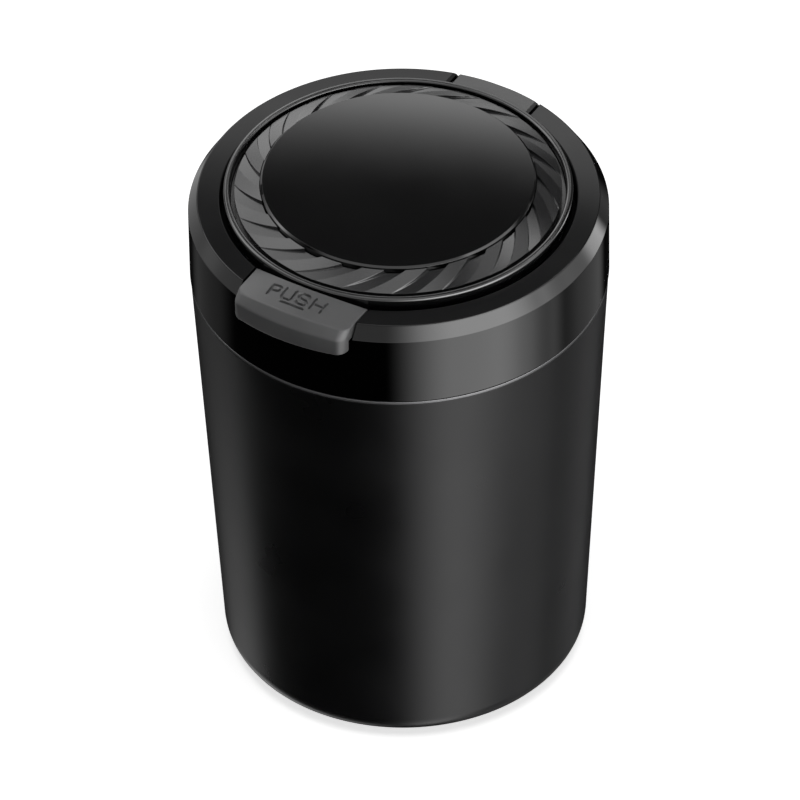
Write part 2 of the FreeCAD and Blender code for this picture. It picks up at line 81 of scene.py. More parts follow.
# Lid
LID_RADIUS = MOUTH_RADIUS - 0.7
LID_UNDER = HEAD_TOP - 0.6
LID_FOOT_ROUND = 0.15
BEAD_INNER = LID_RADIUS - 1.3
BEAD_TOP = HEAD_TOP + 2.0
BEAD_ROUND = 0.53
GROOVE_ROUND = 0.2
RING_SEAT = HEAD_TOP + 0.1
RING_OUTER = BEAD_INNER - 0.8
RING_INNER = RING_OUTER - 4.6
RING_INNER_TOP = HEAD_TOP + 3.42
RING_OUTER_TOP = HEAD_TOP + 1.7
CHANNEL_COUNT = 20
CHANNEL_TWIST = math.radians(15.0)
CHANNEL_START = math.radians(11.4)
CHANNEL_DEPTH = 0.75
CHANNEL_FADE = 0.86
CHANNEL_WALL = 0.13
PLATEAU_RADIUS = RING_INNER - 0.9
DISC_SEAT = HEAD_TOP + 2.4
DISC_RADIUS = RING_INNER - 0.2
DISC_TOP = HEAD_TOP + 3.95
DISC_FOOT = 0.2
DISC_FOOT_ROUND = 0.05
DISC_BEVEL = 0.34
DISC_BEVEL_ROUND = 0.06

# Hinge and keeper
KNUCKLE_RADIUS = 3.9
KNUCKLE_HALF = 8.5
KNUCKLE_EDGE = 0.45
KNUCKLE_ROUND = 0.3
KNUCKLE_INNER = LID_RADIUS - 1.5
KNUCKLE_OUTER = HEAD_RADIUS - 0.1
KNUCKLE_HEEL = LID_UNDER - 0.4
KNUCKLE_HEEL_ROUND = 0.2
HINGE_Y = 35.0
HINGE_Z = HEAD_TOP - KNUCKLE_RADIUS
POCKET_RADIUS = KNUCKLE_RADIUS - 1.0
POCKET_HALF = 3.2
POCKET_TOP = HINGE_Z + 0.5
LEG_ROOM_TOP = HINGE_Z + 1.7
NOTCH_HALF = KNUCKLE_HALF + 0.5
NOTCH_RADIUS = KNUCKLE_RADIUS + 0.6
KEEPER_INNER = LID_RADIUS - 1.5
KEEPER_OUTER = LID_RADIUS - 0.4
KEEPER_UNDER = LID_UNDER - 2.6
KEEPER_TOP = LID_UNDER + 0.3
KEEPER_HALF = 4.5
HOOK_OUTER = LID_RADIUS + 0.2
HOOK_TOP = KEEPER_UNDER + 0.9

# Button and latch
BUTTON_HALF = 11.85
BUTTON_INNER = MOUTH_RADIUS - 0.05
BUTTON_OUTER = HEAD_RADIUS + 2.49
BUTTON_CROWN = 2.2
BUTTON_FRONT_CROWN = 0.6
BUTTON_CORNER = 1.6
LIP_INNER = HEAD_RADIUS + 0.6
LIP_UNDER = HEAD_TOP - 4.9
LIP_SHARE = 0.75
LIP_LEAST = 0.05
PLATE_UNDER = HEAD_TOP - 2.0
PLATE_STEP = 0.6
PLATE_STEP_SHARE = 0.5
WORD_DEPTH = 0.45
NOSE_INNER = LID_RADIUS + 0.35
NOSE_OUTER = BUTTON_INNER + 0.65
NOSE_TOP = PLATE_UNDER + 1.0
NOSE_HALF = 5.0
LATCH_Y = -33.5
LATCH_Z = 97.5
EAR_REACH = BUTTON_HALF - 0.15
EAR_WIDTH = 3.6
EAR_RADIUS = 1.9
EAR_FRONT = LATCH_Y - 1.65
EAR_REAR = LATCH_Y + EAR_RADIUS
EAR_TOP = PLATE_UNDER + 0.3
SLOT_HALF = BUTTON_HALF + 0.35
SLOT_FLOOR = PLATE_UNDER - 1.4
SLOT_REAR = -26.4
WELL_FRONT = LATCH_Y - 2.4
WELL_REAR = LATCH_Y + 2.3
WELL_FLOOR = FRAME_SEAT - 0.1


# Mesh building

def rounded(corners, steps=6, hold=0.06):
    """Profile through corners (a, b, radius): each corner becomes an arc of that radius between its tangent
    points, and a holding point just outside each tangent point keeps the flats flat under smooth shading."""
    runs = []
    for i, corner in enumerate(corners):
        here = np.array(corner[:2], float)
        radius = corner[2] if len(corner) > 2 else 0.0
        if radius <= 0:
            runs.append(here[None])
            continue
        back = np.array(corners[i - 1][:2], float) - here
        ahead = np.array(corners[(i + 1) % len(corners)][:2], float) - here
        back /= np.linalg.norm(back)
        ahead /= np.linalg.norm(ahead)
        half = math.acos(float(np.clip(back @ ahead, -1, 1))) / 2
        middle = (back + ahead) / np.linalg.norm(back + ahead)
        centre = here + middle * radius / math.sin(half)
        start = here + back * radius / math.tan(half)
        end = here + ahead * radius / math.tan(half)
        first = math.atan2(start[1] - centre[1], start[0] - centre[0])
        last = math.atan2(end[1] - centre[1], end[0] - centre[0])
        sweep = (last - first + math.pi) % (2 * math.pi) - math.pi
        angle = first + sweep * np.linspace(0, 1, steps)
        arc = centre + radius * np.stack([np.cos(angle), np.sin(angle)], 1)
        runs.append(np.concatenate([[start + back * hold], arc, [end + ahead * hold]]))
    return np.concatenate(runs)


def grid_faces(rows, columns, wrap_rows=False, wrap_columns=False):
    """Quads of a grid of points numbered row by row, joined round in a direction that wraps."""
    i = np.arange(rows if wrap_rows else rows - 1)
    j = np.arange(columns if wrap_columns else columns - 1)
    i, j = np.meshgrid(i, j, indexing="ij")
    below = ((i + 1) % rows) * columns
    beside = (j + 1) % columns
    return np.stack([i * columns + j, i * columns + beside, below + beside, below + j], -1).reshape(-1, 4)


def make_piece(name, points, faces, material, sharp=40.0):
    """Mesh object from points in millimetres and quads: doubles are merged, faces are turned outwards, and
    shading is smooth up to an angle."""
    mesh = bpy.data.meshes.new(name)
    mesh.from_pydata((np.asarray(points).reshape(-1, 3) * MM).tolist(), [], np.asarray(faces).tolist())
    work = bmesh.new()
    work.from_mesh(mesh)
    bmesh.ops.remove_doubles(work, verts=work.verts, dist=2e-6)
    bmesh.ops.dissolve_degenerate(work, dist=1e-6, edges=work.edges)
    bmesh.ops.recalc_face_normals(work, faces=work.faces)
    work.to_mesh(mesh)
    work.free()
    mesh.shade_smooth()
    mesh.set_sharp_from_angle(angle=math.radians(sharp))
    mesh.materials.append(material)
    piece = bpy.data.objects.new(name, mesh)
    bpy.context.scene.collection.objects.link(piece)
    return piece


def turned(profile, segments=360):
    """Profile (r, z) carried once round the Z axis. A profile that starts and ends on the axis closes there
    in two poles, and any other closes on itself."""
    angle = np.linspace(0, 2 * math.pi, segments, endpoint=False)
    r = profile[:, 0][:, None]
    z = np.broadcast_to(profile[:, 1][:, None], (len(profile), segments))
    points = np.stack([r * np.cos(angle), r * np.sin(angle), z], -1)
    return points, grid_faces(len(profile), segments, wrap_rows=profile[0, 0] > 0, wrap_columns=True)


def carried(section, stations, shrink, centre):
    """Section (a, b) carried along a third axis: at each station it is drawn towards its centre by a share,
    so a share of 1 closes an end in a pole. Returns the three coordinates as (rows, columns) and the
    quads."""
    share = np.asarray(shrink, float)[:, None]
    a = section[:, 0][None] + (centre[0] - section[:, 0][None]) * share
    b = section[:, 1][None] + (centre[1] - section[:, 1][None]) * share
    along = np.broadcast_to(np.asarray(stations, float)[:, None], a.shape)
    return along, a, b, grid_faces(len(stations), len(section), wrap_columns=True)


def block(name, x0, x1, y0, y1, z0, z1, material):
    """Plain block, as a rectangle carried along X between two poles."""
    section = np.array([(y0, z0), (y1, z0), (y1, z1), (y0, z1)], float)
    x, y, z, faces = carried(section, [x0, x0, x1, x1], [1, 0, 0, 1], section.mean(0))
    return make_piece(name, np.stack([x, y, z], -1), faces, material)


def cross_rod(name, radius, x0, x1, y, z, material, segments=64):
    """Rod along X, as a circle carried between two poles."""
    angle = np.linspace(0, 2 * math.pi, segments, endpoint=False)
    section = np.stack([y + radius * np.cos(angle), z + radius * np.sin(angle)], 1)
    x, y, z, faces = carried(section, [x0, x0, x1, x1], [1, 0, 0, 1], (y, z))
    return make_piece(name, np.stack([x, y, z], -1), faces, material)


def channel_bar(name, section, y0, y1, material):
    """Bar along Y, as a section (x, z) carried between two poles."""
    section = np.array(section, float)
    y, x, z, faces = carried(section, [y0, y0, y1, y1], [1, 0, 0, 1], section.mean(0))
    return make_piece(name, np.stack([x, y, z], -1), faces, material)


def front_arc(name, inner, outer, low, high, half, material):
    """Curved block at the front: a rectangle (r, z) carried round the Z axis from -half to half in x."""
    steps = 25
    section = np.array([(inner, low), (outer, low), (outer, high), (inner, high)], float)
    reach = math.asin(half / outer)
    stations = np.concatenate([[-reach], np.linspace(-reach, reach, steps), [reach]])
    shrink = np.concatenate([[1], np.zeros(steps), [1]])
    angle, r, z, faces = carried(section, stations, shrink, section.mean(0))
    return make_piece(name, np.stack([r * np.sin(angle), -r * np.cos(angle), z], -1), faces, material)


def cut_away(piece, cutters):
    """Takes the cutters' solids out of the piece and keeps the result as its own mesh."""
    for cutter in cutters:
        cut = piece.modifiers.new("cut", "BOOLEAN")
        cut.operation = "DIFFERENCE"
        cut.solver = "EXACT"
        cut.object = cutter
    graph = bpy.context.evaluated_depsgraph_get()
    result = bpy.data.meshes.new_from_object(piece.evaluated_get(graph))
    piece.modifiers.clear()
    piece.data = result
    result.shade_smooth()
    result.set_sharp_from_angle(angle=math.radians(30))
    for cutter in cutters:
        bpy.data.objects.remove(cutter)


def seat(piece, body, slot, *replaced):
    """Puts a piece on its body, standing for the named solids, which are hidden. The slot is not used."""
    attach(piece, body)
    if replaced:
        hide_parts(*replaced)
    return piece


# Materials

CLOUD_SCALE = 60.0


def new_material(name):
    """Node material with its Principled shader."""
    material = bpy.data.materials.new(name)
    material.use_nodes = True
    return material, material.node_tree, material.node_tree.nodes["Principled BSDF"]


def noise(tree, scale, detail, stretch=(1, 1, 1)):
    """Noise on Object coordinates, stretched along the axes where asked."""
    coordinate = tree.nodes.new("ShaderNodeTexCoord")
    mapping = tree.nodes.new("ShaderNodeMapping")
    mapping.inputs["Scale"].default_value = stretch
    texture = tree.nodes.new("ShaderNodeTexNoise")
    texture.inputs["Scale"].default_value = scale
    texture.inputs["Detail"].default_value = detail
    tree.links.new(coordinate.outputs["Object"], mapping.inputs["Vector"])
    tree.links.new(mapping.outputs["Vector"], texture.inputs["Vector"])
    return texture.outputs["Fac"]


def ramped(tree, value, start, end, low, high):
    """Maps a value from start to end onto low to high, held at both ends."""
    node = tree.nodes.new("ShaderNodeMapRange")
    node.inputs["From Min"].default_value = start
    node.inputs["From Max"].default_value = end
    node.inputs["To Min"].default_value = low
    node.inputs["To Max"].default_value = high
    tree.links.new(value, node.inputs["Value"])
    return node.outputs["Result"]


def spread(tree, value, low, high):
    """Maps the middle of a noise's range onto low to high."""
    return ramped(tree, value, 0.3, 0.7, low, high)


def joined(tree, operation, first, second):
    """Math node of two sockets."""
    node = tree.nodes.new("ShaderNodeMath")
    node.operation = operation
    tree.links.new(first, node.inputs[0])
    tree.links.new(second, node.inputs[1])
    return node.outputs["Value"]


def blend_shades(tree, shader, value, first, second):
    """Base colour that goes from the first colour to the second as the value goes from 0 to 1."""
    blend = tree.nodes.new("ShaderNodeMix")
    blend.data_type = "RGBA"
    blend.inputs["A"].default_value = [*first, 1]
    blend.inputs["B"].default_value = [*second, 1]
    tree.links.new(value, blend.inputs["Factor"])
    tree.links.new(blend.outputs["Result"], shader.inputs["Base Color"])


def shade(tree, shader, value, colour, change):
    """Base colour that swings by a share either side of the given colour."""
    darker = [c * (1 - change) for c in colour]
    paler = [min(1.0, c * (1 + change)) for c in colour]
    blend_shades(tree, shader, value, darker, paler)


def relief(tree, shader, value, height):
    """Bump of a height in metres."""
    bump = tree.nodes.new("ShaderNodeBump")
    bump.inputs["Strength"].default_value = 1.0
    bump.inputs["Distance"].default_value = height
    tree.links.new(value, bump.inputs["Height"])
    tree.links.new(bump.outputs["Normal"], shader.inputs["Normal"])


def plastic(name, colour, rough, grain_scale, grain_height, gloss=0.5, change=0.15):
    """Moulded plastic: fine tool grain as bump, cloudy roughness and a slight change of shade."""
    shade_scale = 220.0
    material, tree, shader = new_material(name)
    shader.inputs["Specular IOR Level"].default_value = gloss
    tree.links.new(spread(tree, noise(tree, CLOUD_SCALE, 3.0), *rough), shader.inputs["Roughness"])
    shade(tree, shader, noise(tree, shade_scale, 2.0), colour, change)
    relief(tree, shader, noise(tree, grain_scale, 2.0), grain_height)
    return material


def collar_finish(name):
    """Glossy black plastic whose flat top is duller: above the chamfer the shade, gloss and roughness
    change. Inside the mouth the shade is that of the top and there is no gloss."""
    band_shade = (0.0006, 0.0006, 0.0007)
    top_shade = (0.0115, 0.0115, 0.0118)
    band_gloss, top_gloss = 0.34, 0.19
    band_rough, top_rough = 0.065, 0.1
    change_start, change_end = (HEAD_TOP - 0.3) * MM, (HEAD_TOP - 0.05) * MM
    mouth_start, mouth_end = (MOUTH_RADIUS + 0.1) * MM, (MOUTH_RADIUS + 0.3) * MM
    grain_scale, grain_height = 1800.0, 0.0000003
    material, tree, shader = new_material(name)
    coordinate = tree.nodes.new("ShaderNodeTexCoord")
    parts = tree.nodes.new("ShaderNodeSeparateXYZ")
    tree.links.new(coordinate.outputs["Object"], parts.inputs["Vector"])
    height = parts.outputs["Z"]
    flat = tree.nodes.new("ShaderNodeCombineXYZ")
    tree.links.new(parts.outputs["X"], flat.inputs["X"])
    tree.links.new(parts.outputs["Y"], flat.inputs["Y"])
    length = tree.nodes.new("ShaderNodeVectorMath")
    length.operation = "LENGTH"
    tree.links.new(flat.outputs["Vector"], length.inputs["Vector"])
    radius = length.outputs["Value"]
    outside = ramped(tree, radius, mouth_start, mouth_end, 0.0, 1.0)
    inside = ramped(tree, radius, mouth_start, mouth_end, 1.0, 0.0)
    gloss = ramped(tree, height, change_start, change_end, band_gloss, top_gloss)
    tree.links.new(joined(tree, "MULTIPLY", gloss, outside), shader.inputs["Specular IOR Level"])
    cloud = spread(tree, noise(tree, CLOUD_SCALE, 3.0), 0.8, 1.2)
    rough = ramped(tree, height, change_start, change_end, band_rough, top_rough)
    tree.links.new(joined(tree, "MULTIPLY", cloud, rough), shader.inputs["Roughness"])
    on_top = ramped(tree, height, change_start, change_end, 0.0, 1.0)
    blend_shades(tree, shader, joined(tree, "MAXIMUM", on_top, inside), band_shade, top_shade)
    relief(tree, shader, noise(tree, grain_scale, 2.0), grain_height)
    return material


def steel(name, colour, rough, stretch):
    """Drawn steel: stretched noise lines in the roughness and as a shallow bump, with cloudy tone."""
    line_scale, line_height = 900.0, 0.0000012
    tone_scale, tone_change = 90.0, 0.12
    material, tree, shader = new_material(name)
    shader.inputs["Metallic"].default_value = 1.0
    lines = noise(tree, line_scale, 3.0, stretch)
    tree.links.new(spread(tree, lines, *rough), shader.inputs["Roughness"])
    shade(tree, shader, noise(tree, tone_scale, 3.0), colour, tone_change)
    relief(tree, shader, lines, line_height)
    return material


satin_cup = plastic("satin_cup_black", (0.002, 0.002, 0.0022), (0.27, 0.33), 2600.0, 0.000003, gloss=0.17)
gloss_collar = collar_finish("gloss_collar_black")
lid_black = plastic("lid_black", (0.0012, 0.0012, 0.0013), (0.15, 0.2), 1800.0, 0.000001, gloss=0.68)
ridge_satin = plastic("ridge_satin_black", (0.012, 0.012, 0.0125), (0.2, 0.26), 2200.0, 0.0000015)
disc_gloss = plastic("disc_gloss_black", (0.0012, 0.0012, 0.0013), (0.05, 0.07), 900.0, 0.0000002)
button_matte = plastic("button_matte_grey", (0.062, 0.062, 0.063), (0.42, 0.52), 3000.0, 0.000004)
inner_black = plastic("inner_black", (0.02, 0.02, 0.021), (0.45, 0.6), 2200.0, 0.000006)
soft_rubber = plastic("soft_rubber", (0.025, 0.025, 0.025), (0.65, 0.8), 2600.0, 0.00001)
seam_steel = steel("seam_steel", (0.08, 0.08, 0.082), (0.3, 0.42), (1, 1, 20))
liner_steel = steel("liner_steel", (0.42, 0.42, 0.42), (0.28, 0.4), (1, 1, 14))
pin_steel = steel("pin_steel", (0.55, 0.55, 0.55), (0.25, 0.4), (14, 1, 1))


# Cup

def cup_wall():
    """Tapered wall from the rounded base to the rim, closed by its inner wall and floor, turned about Z."""
    profile = rounded([
        (0, PAD_SEAT), (PAD_RADIUS, PAD_SEAT), (PAD_RADIUS, CUP_UNDER, FINE_EDGE),
        (CUP_FOOT, CUP_UNDER, CUP_FOOT_ROUND), (CUP_RIM, CUP_TOP, SEAM_ROUND),
        (CUP_BORE, CUP_TOP, FINE_EDGE), (CUP_BORE, CUP_LEDGE, FINE_EDGE),
        (CUP_INNER_TOP, CUP_LEDGE, FINE_EDGE),
        (CUP_INNER_FOOT, CUP_FLOOR, CUP_INNER_ROUND), (0, CUP_FLOOR)], steps=12)
    return make_piece("cup_wall", *turned(profile), satin_cup)


def seam_trim():
    """Thin ring on the rim: a small rectangle with a broken edge, turned about Z."""
    profile = rounded([
        (TRIM_INNER, CUP_TOP), (TRIM_OUTER, CUP_TOP), (TRIM_OUTER, TRIM_TOP, TRIM_ROUND),
        (TRIM_INNER, TRIM_TOP, FINE_EDGE)], steps=5, hold=0.02)
    return make_piece("seam_trim", *turned(profile), seam_steel)


seat(cup_wall(), "cup", "cup_black", "outer_cup")
seat(seam_trim(), "cup", "seam_metal", "seam_ring")


# Collar

def collar_body():
    """Section of band, chamfer, annulus, mouth wall and ledge turned about Z, less the hinge notch,
    which flares at the top, and the button's slot and well."""
    profile = rounded([
        (SKIRT_BORE, HEAD_UNDER, FINE_EDGE), (HEAD_RADIUS, HEAD_UNDER, SEAM_ROUND),
        (HEAD_RADIUS, HEAD_TOP - CHAMFER_DROP, CHAMFER_ROUND),
        (HEAD_RADIUS - CHAMFER_RUN, HEAD_TOP, CHAMFER_ROUND), (MOUTH_RADIUS, HEAD_TOP, MOUTH_ROUND),
        (MOUTH_RADIUS, RECESS_FLOOR, RECESS_ROUND), (LEDGE_BORE, RECESS_FLOOR, FINE_EDGE),
        (LEDGE_BORE, RECESS_UNDER, FINE_EDGE), (FRAME_BORE, RECESS_UNDER, FINE_EDGE),
        (FRAME_BORE, FRAME_SEAT, FINE_EDGE), (SKIRT_BORE, FRAME_SEAT)])
    piece = make_piece("collar_body", *turned(profile, 480), gloss_collar)
    clear = 5
    overlap = 0.1
    rear = HINGE_Y + 2 * clear
    front = -HEAD_RADIUS - clear
    above = HEAD_TOP + clear
    flare = HEAD_TOP - KNUCKLE_EDGE
    wide = NOTCH_HALF + KNUCKLE_EDGE + clear
    flared = [
        (-NOTCH_HALF, HINGE_Z), (NOTCH_HALF, HINGE_Z), (NOTCH_HALF, flare), (wide, above), (-wide, above),
        (-NOTCH_HALF, flare)]
    cutters = [
        channel_bar("notch_top", flared, HINGE_Y - NOTCH_RADIUS, rear, lid_black),
        block("notch_low", -NOTCH_HALF, NOTCH_HALF, HINGE_Y, rear,
              HINGE_Z - NOTCH_RADIUS, HINGE_Z + overlap, lid_black),
        cross_rod("notch_round", NOTCH_RADIUS, -NOTCH_HALF, NOTCH_HALF, HINGE_Y, HINGE_Z, lid_black),
        block("slot", -SLOT_HALF, SLOT_HALF, front, SLOT_REAR, SLOT_FLOOR, above, lid_black),
        block("well", -SLOT_HALF, SLOT_HALF, WELL_FRONT, WELL_REAR,
              WELL_FLOOR, SLOT_FLOOR + overlap, lid_black),
    ]
    cut_away(piece, cutters)
    return piece


seat(collar_body(), "head", "collar_black", "collar")


# Lid

def lid_rim():
    """Section of bead, groove, ring seat and disc plateau turned about Z."""
    profile = rounded([
        (0, LID_UNDER), (LID_RADIUS, LID_UNDER, LID_FOOT_ROUND), (LID_RADIUS, BEAD_TOP, BEAD_ROUND),
        (BEAD_INNER, BEAD_TOP, BEAD_ROUND), (BEAD_INNER, RING_SEAT, GROOVE_ROUND),
        (PLATEAU_RADIUS, RING_SEAT, FINE_EDGE), (PLATEAU_RADIUS, DISC_SEAT, FINE_EDGE),
        (0, DISC_SEAT)], steps=8, hold=0.01)
    return make_piece("lid_rim", *turned(profile, 400), lid_black)


def hinge_knuckle():
    """Knuckle section in Y and Z (round below, square above) carried along X, with its outer side held
    inside the collar's round: y is at most the root of R(z) squared less x squared. The top drops by as much
    as x comes within the broken edge's width of the ends. The spring's pocket is cut out, with room for its
    leg when the lid is open."""
    under = np.radians(np.linspace(-180, 0, 41))
    barrel = (HINGE_Y, HINGE_Z) + KNUCKLE_RADIUS * np.stack([np.cos(under), np.sin(under)], 1)
    top = rounded([
        (KNUCKLE_OUTER, HEAD_TOP - CHAMFER_DROP, KNUCKLE_ROUND),
        (KNUCKLE_OUTER - CHAMFER_RUN, HEAD_TOP, KNUCKLE_ROUND), (KNUCKLE_INNER, HEAD_TOP, FINE_EDGE),
        (KNUCKLE_INNER, LID_UNDER, FINE_EDGE),
        (HINGE_Y - KNUCKLE_RADIUS, KNUCKLE_HEEL, KNUCKLE_HEEL_ROUND)])
    section = np.concatenate([barrel, top])
    inside = np.linspace(-KNUCKLE_HALF + KNUCKLE_EDGE, KNUCKLE_HALF - KNUCKLE_EDGE, 41)
    stations = np.concatenate([[-KNUCKLE_HALF, -KNUCKLE_HALF], inside, [KNUCKLE_HALF, KNUCKLE_HALF]])
    shrink = np.concatenate([[1, 0], np.zeros(len(inside)), [0, 1]])
    pole = (HINGE_Y, HINGE_Z + 0.6)
    x, y, z, faces = carried(section, stations, shrink, pole)
    broken = np.clip(np.abs(x) - KNUCKLE_HALF + KNUCKLE_EDGE, 0, KNUCKLE_EDGE)
    z = np.minimum(z, HEAD_TOP - broken)
    reach = KNUCKLE_OUTER - CHAMFER_RUN * np.clip((z - HEAD_TOP + CHAMFER_DROP) / CHAMFER_DROP, 0, 1)
    y = np.minimum(y, np.sqrt(reach ** 2 - x ** 2))
    piece = make_piece("hinge_knuckle", np.stack([x, y, z], -1), faces, lid_black, 30.0)
    low = HINGE_Z - 5
    front = HINGE_Y - POCKET_RADIUS
    rear = HEAD_RADIUS + 1
    pocket = [
        cross_rod("pocket_round", POCKET_RADIUS, -POCKET_HALF, POCKET_HALF, HINGE_Y, HINGE_Z, lid_black),
        block("pocket_mouth", -POCKET_HALF, POCKET_HALF, front, rear, low, POCKET_TOP, lid_black),
        block("leg_room", -POCKET_HALF, POCKET_HALF, HINGE_Y, rear, HINGE_Z, LEG_ROOM_TOP, lid_black),
    ]
    cut_away(piece, pocket)
    return piece


def ridge_ring():
    """Cone with twisted channels on a polar grid that turns clockwise from the inner to the outer edge.
    Height is cone(r) less depth * (1 - fade * s) * sunk. Here s runs from 0 at the inner edge to 1 at the
    outer end, and sunk ramps smoothly from 0 on a rib to 1 on a channel's floor. A channel spans -1 to 1
    across."""
    wall = np.linspace(1 - CHANNEL_WALL, 1.0, 5)
    floor = np.linspace(-0.75, 0.75, 7)
    rib = np.linspace(1.1, 2.9, 7)
    across = np.concatenate([-wall[::-1], floor, wall, rib])
    ramp = np.clip((1 - np.abs(across)) / CHANNEL_WALL, 0, 1)
    sunk = ramp * ramp * (3 - 2 * ramp)
    pitch = 2 * math.pi / CHANNEL_COUNT
    turn = (np.arange(CHANNEL_COUNT)[:, None] * pitch + across[None] * pitch / 4).reshape(-1)
    share = np.concatenate([[0.0], np.linspace(0, 1, 40), [1.0]])[:, None]
    radius = RING_INNER + share * (RING_OUTER - RING_INNER)
    cone = RING_INNER_TOP + share * (RING_OUTER_TOP - RING_INNER_TOP)
    drop = CHANNEL_DEPTH * (1 - CHANNEL_FADE * share)
    height = cone - drop * np.tile(sunk, CHANNEL_COUNT)[None]
    height[[0, -1]] = RING_SEAT
    angle = CHANNEL_START + turn[None] - CHANNEL_TWIST * share
    points = np.stack([radius * np.cos(angle), radius * np.sin(angle), height], -1)
    faces = grid_faces(len(share), len(turn), wrap_rows=True, wrap_columns=True)
    return make_piece("ridge_ring", points, faces, ridge_satin, 25.0)


def lid_disc():
    """Flat disc with a narrow bevel and a broken foot, turned about Z."""
    profile = rounded([
        (0, DISC_SEAT), (DISC_RADIUS - DISC_FOOT, DISC_SEAT, DISC_FOOT_ROUND),
        (DISC_RADIUS, DISC_SEAT + DISC_FOOT, DISC_FOOT_ROUND),
        (DISC_RADIUS, DISC_TOP - DISC_BEVEL, DISC_BEVEL_ROUND),
        (DISC_RADIUS - DISC_BEVEL, DISC_TOP, DISC_BEVEL_ROUND), (0, DISC_TOP)], steps=6, hold=0.02)
    return make_piece("lid_disc", *turned(profile, 400), disc_gloss)


seat(lid_rim(), "lid", "lid_black", "lid_shell")
seat(hinge_knuckle(), "lid", "lid_black")
keeper_stem = front_arc("keeper_stem", KEEPER_INNER, KEEPER_OUTER, KEEPER_UNDER, KEEPER_TOP,
                        KEEPER_HALF, lid_black)
keeper_hook = front_arc("keeper_hook", KEEPER_INNER, HOOK_OUTER, KEEPER_UNDER, HOOK_TOP,
                        KEEPER_HALF, lid_black)
seat(keeper_stem, "lid", "lid_black")
seat(keeper_hook, "lid", "lid_black")
seat(ridge_ring(), "lid", "ridge_black", "ridged_ring")
seat(lid_disc(), "lid", "disc_black", "centre_disc")


# Latch button

def stroke_depth(x, y):
    """Share of the full depth of the sunk word and bar at points of the button's top: 1 within half a
    stroke's width of a stroke, falling smoothly to 0 beside it. A letter is its left edge and its path."""
    left, pen, tall, foot = -5.85, 0.25, 2.5, -37.1
    bar_left, bar_right, bar_foot = -2.5, 2.2, -38.0
    edge_start, edge_width = 0.06, 0.14
    letters = [
        (0.0, [(0, 0), (0, 1), (1.4, 1), (1.8, 0.88), (1.8, 0.6), (1.4, 0.47), (0, 0.47)]),
        (2.8, [(0, 1), (0, 0.2), (0.4, 0), (1.7, 0), (2.1, 0.2), (2.1, 1)]),
        (5.9, [(2.0, 0.84), (1.6, 1), (0.4, 1), (0, 0.84), (0, 0.66), (0.4, 0.53), (1.6, 0.47), (2.0, 0.34),
               (2.0, 0.16), (1.6, 0), (0.4, 0), (0, 0.16)]),
        (9.1, [(0, 0), (0, 1)]), (9.1, [(0, 0.5), (2.2, 0.5)]), (9.1, [(2.2, 0), (2.2, 1)]),
    ]
    lines = [np.array([(left + start + px, foot + tall * py) for px, py in path]) for start, path in letters]
    lines.append(np.array([(bar_left, bar_foot), (bar_right, bar_foot)]))
    nearest = np.full(x.shape, np.inf)
    for line in lines:
        for a, b in zip(line[:-1], line[1:]):
            run = b - a
            along = np.clip(((x - a[0]) * run[0] + (y - a[1]) * run[1]) / (run @ run), 0, 1)
            nearest = np.minimum(nearest, np.hypot(x - a[0] - along * run[0], y - a[1] - along * run[1]))
    fall = np.clip((pen + edge_start - nearest) / edge_width, 0, 1)
    return fall * fall * (3 - 2 * fall)


def button_crown(x, y):
    """Rise of the button's top over its ends: an arch across x that is tallest beside the lid."""
    crown_start = BUTTON_INNER - 3
    crown_end = BUTTON_OUTER + 1
    share = (-y - crown_start) / (crown_end - crown_start)
    return (BUTTON_CROWN + (BUTTON_FRONT_CROWN - BUTTON_CROWN) * share) * (1 - (x / BUTTON_HALF) ** 2)


def button_plan(u, v, side, inner, front):
    """Plan of the button: x = half width * u; y runs from the inner arc (v = 0) over the lip's inner arc
    (v = the lip's share) to the outer arc (v = 1), whose corners are rounded. The insets narrow the
    outline."""
    half = BUTTON_HALF - side
    x = half * u
    steepest = 0.9995
    over = np.clip((np.abs(x) - half + BUTTON_CORNER) / BUTTON_CORNER, 0, 1)
    corner = BUTTON_CORNER * (1 - np.sqrt(1 - steepest * over ** 2))
    near = -np.sqrt((BUTTON_INNER + inner) ** 2 - x ** 2)
    far = -np.sqrt((BUTTON_OUTER - front) ** 2 - x ** 2) + corner
    step = np.maximum(-np.sqrt(LIP_INNER ** 2 - x ** 2), far + LIP_LEAST)
    plate = near + (step - near) * v / LIP_SHARE
    lip = step + (far - step) * (v - LIP_SHARE) / (1 - LIP_SHARE)
    return x, np.where(v < LIP_SHARE, plate, lip)


def button_under(v):
    """Height of the button's underside along v: the plate, its step, and the lip."""
    plate = np.where(v > PLATE_STEP_SHARE, PLATE_UNDER - PLATE_STEP, PLATE_UNDER)
    return np.where(v > LIP_SHARE, LIP_UNDER, plate)


